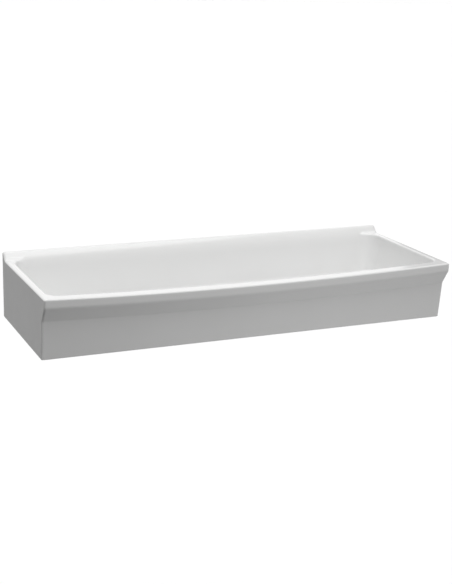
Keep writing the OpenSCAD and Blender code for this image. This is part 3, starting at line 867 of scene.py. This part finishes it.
def moulded(name, light, dark, low, high):
    """Moulded plastic with the fine satin of its tool."""
    made = Finish(name, IOR=1.5, Subsurface_Weight=0.08, Subsurface_Scale=0.002)
    made.colour(made.ramp(made.noise(45.0, 3.0), (0.3, dark), (0.7, light)))
    made.roughness(made.ramp(made.noise(260.0, 3.0), (0.3, low), (0.7, high)))
    made.relief((made.noise(1800.0, 2.0), 0.00005, 0.3))
    return made.material


def brass():
    """Machined brass with fine turning marks and a little tarnish."""
    made = Finish("machined_brass", Metallic=1.0)
    made.colour(made.ramp(made.noise(38.0, 6.0), (0.3, (0.6, 0.42, 0.17)), (0.7, (0.78, 0.6, 0.3))))
    marks = made.noise(250.0, 4.0, made.stretched(1.0, 1.0, 14.0))
    made.roughness(made.ramp(marks, (0.3, 0.22), (0.75, 0.42)))
    made.relief((marks, 0.00004, 0.35))
    return made.material


def zinc():
    """Bright zinc plate, mottled, with a faint straw and blue tint."""
    made = Finish("zinc_plate", Metallic=1.0)
    tint = made.noise(120.0, 4.0)
    made.colour(made.ramp(
        tint, (0.3, (0.56, 0.58, 0.62)), (0.5, (0.64, 0.65, 0.66)), (0.72, (0.68, 0.65, 0.56)),
    ))
    made.roughness(made.ramp(made.cells(500.0).outputs["Distance"], (0.1, 0.3), (0.7, 0.46)))
    made.relief((made.noise(1600.0, 3.0), 0.00004, 0.3))
    return made.material


# ---------------------------------------------------------------- stage

# Far lamps: (compass angle from +X, height above the horizon, apparent width, strength, seen in gloss)
LAMPS = {
    "overhead": (90, 78, 50, 1.0, False),
    "overhead_front": (-90, 75, 50, 1.19, True),
}
# The low lamp: its place, the way its back faces, its size and its power
LOW_AT, LOW_BACK = (0.28, -1.3, -0.75), (0, -0.1, -1.25)
LOW_W, LOW_H, LOW_POWER = 0.7, 0.6, 4.6
SKY = 0.37  # the world's strength for rays that light the object


def lamps():
    """Broad lamps far overhead, and a low one that fills the front from below."""
    for name, (compass, height, width, strength, glossy) in LAMPS.items():
        light = bpy.data.lights.new(name, "SUN")
        light.angle, light.energy = radians(width), strength
        lamp = bpy.data.objects.new(name, light)
        lamp.rotation_euler = (radians(90 - height), 0, radians(90 + compass))
        lamp.visible_glossy = glossy
        scene.collection.objects.link(lamp)
    light = bpy.data.lights.new("low_front", "AREA")
    light.shape, light.size, light.size_y, light.energy = "RECTANGLE", LOW_W, LOW_H, LOW_POWER
    lamp = bpy.data.objects.new("low_front", light)
    lamp.location = LOW_AT
    lamp.rotation_mode = "QUATERNION"
    lamp.rotation_quaternion = Vector(LOW_BACK).to_track_quat("Z", "Y")
    lamp.visible_camera = lamp.visible_glossy = False
    scene.collection.objects.link(lamp)


def seen_rays(tree):
    """1 for rays that show the surroundings to the camera, in a reflection or through glass."""
    path = tree.nodes.new("ShaderNodeLightPath")
    total = path.outputs["Is Camera Ray"]
    for kind in ("Is Glossy Ray", "Is Transmission Ray"):
        either = tree.nodes.new("ShaderNodeMath")
        either.operation = "MAXIMUM"
        tree.links.new(total, either.inputs[0])
        tree.links.new(path.outputs[kind], either.inputs[1])
        total = either.outputs[0]
    return total


def sheet(name, size, seen, lit, at, turn=0.0, tip=0.0):
    """Flat sheet of the studio, clear from behind. Its colour as seen is paler than as it lights."""
    bm = bmesh.new()
    turned_to = Matrix.Rotation(radians(turn), 4, "Z") @ Matrix.Rotation(radians(tip), 4, "X")
    bmesh.ops.create_grid(
        bm, x_segments=1, y_segments=1, size=0.5,
        matrix=Matrix.Translation(at) @ turned_to @ Matrix.Diagonal((*size, 1, 1)),
    )
    made = bpy.data.objects.new(name, as_mesh(bm, name))
    scene.collection.objects.link(made)
    finish = Finish(name, Roughness=0.95, Specular_IOR_Level=0.0)
    finish.colour(finish.ramp(seen_rays(finish.tree), (0.0, lit), (1.0, seen)))
    clear = finish.node("ShaderNodeBsdfTransparent")
    choice = finish.node("ShaderNodeMixShader")
    finish.join(finish.node("ShaderNodeNewGeometry").outputs["Backfacing"], choice.inputs["Fac"])
    finish.join(finish.shader.outputs["BSDF"], choice.inputs[1])
    finish.join(clear.outputs["BSDF"], choice.inputs[2])
    finish.join(choice.outputs["Shader"], finish.tree.nodes["Material Output"].inputs["Surface"])
    made.data.materials.append(finish.material)
    return made


def studio_sheets():
    """Wide floor far below the hung trough, and two grey cards that only reflections show. The cards are
    painted shade: they darken the glaze's left end and the right end of its front rim.
    """
    sheet("floor", size=(140, 140), seen=0.97, lit=0.042, at=(0, 0, -2.0))
    # Painted shade: a dark card, unseen by the camera, that darkens the reflections and the bounce light
    # on the trough's left end.
    lying = sheet("shade_card_left", size=(3.75, 6.6), seen=0.4, lit=0.02, at=(-2.625, 2.7, -0.79))
    # Painted shade: a dark card seen only in reflections, that darkens the right end of the trough's
    # front rim.
    standing = sheet(
        "shade_card_right", size=(2.9, 3.8), seen=0.4, lit=0.02, at=(3.35, 1.8, 1.1), turn=-63.4, tip=90,
    )
    for card in (lying, standing):
        card.visible_camera = card.visible_shadow = False
    standing.visible_diffuse = False


def surroundings():
    """A white world that lights the object less than it shows."""
    world = bpy.data.worlds.new("studio")
    scene.world = world
    world.use_nodes = True
    tree = world.node_tree
    strength = tree.nodes.new("ShaderNodeMapRange")
    tree.links.new(seen_rays(tree), strength.inputs["Value"])
    strength.inputs["To Min"].default_value = SKY
    strength.inputs["To Max"].default_value = 1.0
    tree.links.new(strength.outputs["Result"], tree.nodes["Background"].inputs["Strength"])
    tree.nodes["Background"].inputs["Color"].default_value = (1, 1, 1, 1)


photo_camera()
lamps()
studio_sheets()
surroundings()

fired = [glaze(), bare_fireclay(), thin_glaze()]  # in the order of BARE and THIN
bright, plated = chrome(), zinc()
white = moulded("white_plastic", (0.86, 0.85, 0.81), (0.82, 0.81, 0.77), 0.3, 0.42)
grey = moulded("grey_nylon", (0.47, 0.48, 0.49), (0.42, 0.43, 0.44), 0.42, 0.6)
seal = rubber()
piece("trough", trough(), "trough_body", fired, shade=body_finish)
piece("waste_tail", waste_tail(), "waste_body", [bright])
piece("strainer", strainer(), "strainer_grid", [bright])
piece("strainer_screw", strainer_screw(), "grid_screw", [bright])
flange_seal = at_waste(washer_ring(THREAD_R + 0.3, FLANGE_R - 1, SEAT_Z, FLANGE_Z, 0.4))
piece("flange_gasket", flange_seal, "flange_seal", [seal])
piece("boss_gasket", under_seal(), "under_seal", [seal])
slip_washer = at_waste(washer_ring(THREAD_R + 0.15, SLIP_R, NUT_TOP, SLIP_TOP, 0.5))
piece("slip_ring", slip_washer, "slip_washer", [white])
piece("tail_nut", back_nut(), "waste_back_nut", [brass()])
piece("plugs", wall_plug(), "wall_plugs", [grey])
piece("bolts", hanger_bolt(), "hanger_bolts", [plated])
piece("sleeves", sleeve(), "bolt_sleeves", [white])
bolt_washers = at_bolts(washer_ring(BOLT_R + 0.3, WASHER_R, COLLAR_FACE, WASHER_FACE, 0.5, 64))
piece("washers", bolt_washers, "bolt_washers", [plated])
piece("nuts", bolt_nut(), "bolt_nuts", [plated])

scene.view_settings.view_transform = "Standard"
